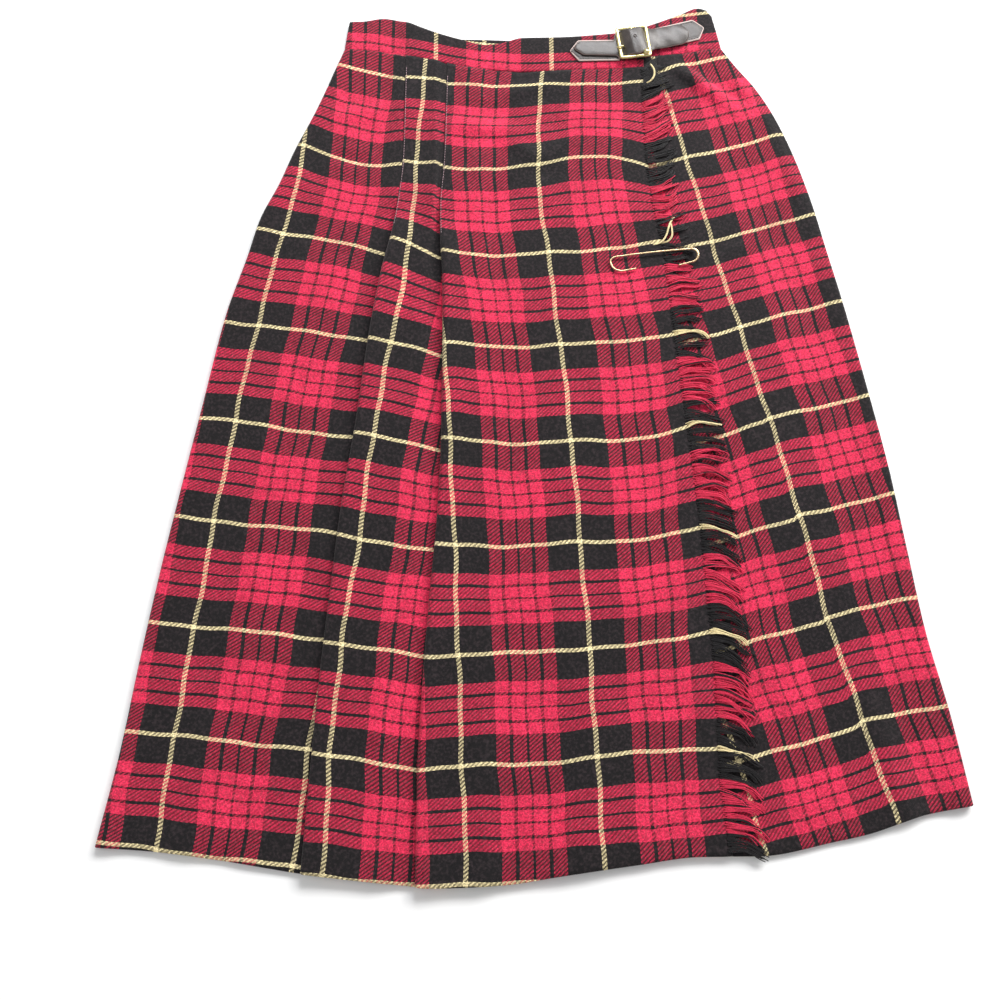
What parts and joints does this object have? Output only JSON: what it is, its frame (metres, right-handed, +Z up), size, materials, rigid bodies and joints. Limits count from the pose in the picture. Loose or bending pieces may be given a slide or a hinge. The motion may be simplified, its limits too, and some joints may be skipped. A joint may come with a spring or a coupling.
{
  "type": "tartan wrap skirt",
  "caption": "Pleated woollen tartan wrap skirt laid flat, with a fringed front edge, a waistband, a leather strap with a brass buckle, and a brass kilt pin.",
  "frame": {"origin": "centre of the underside's bounding box, on the surface the skirt lies on", "axes": "+X to the right of the skirt as it lies, +Y from hem to waistband, +Z up"},
  "size_m": [0.6902, 0.8029, 0.0176],
  "materials": {
    "tartan": "brushed wool twill in red and black checks with fine yellow lines",
    "yarn": "loose wool yarn",
    "leather": "dark brown grained leather with pale cut edges",
    "brass": "polished, a little worn"
  },
  "bodies": {
    "root": {"back_panel": "tartan", "left_front": "tartan", "pleat_panel": "tartan", "over_apron": "tartan", "under_apron": "tartan", "apron_fringe": "yarn", "waistband_back": "tartan", "waistband_under": "tartan", "waistband_front": "tartan", "tab_left": "leather", "tab_right": "leather", "strap": "leather", "buckle_frame": "brass", "buckle_prong": "brass", "pin_wire": "brass", "pin_clasp": "brass", "pin_point": "brass"}
  },
  "joints": []
}
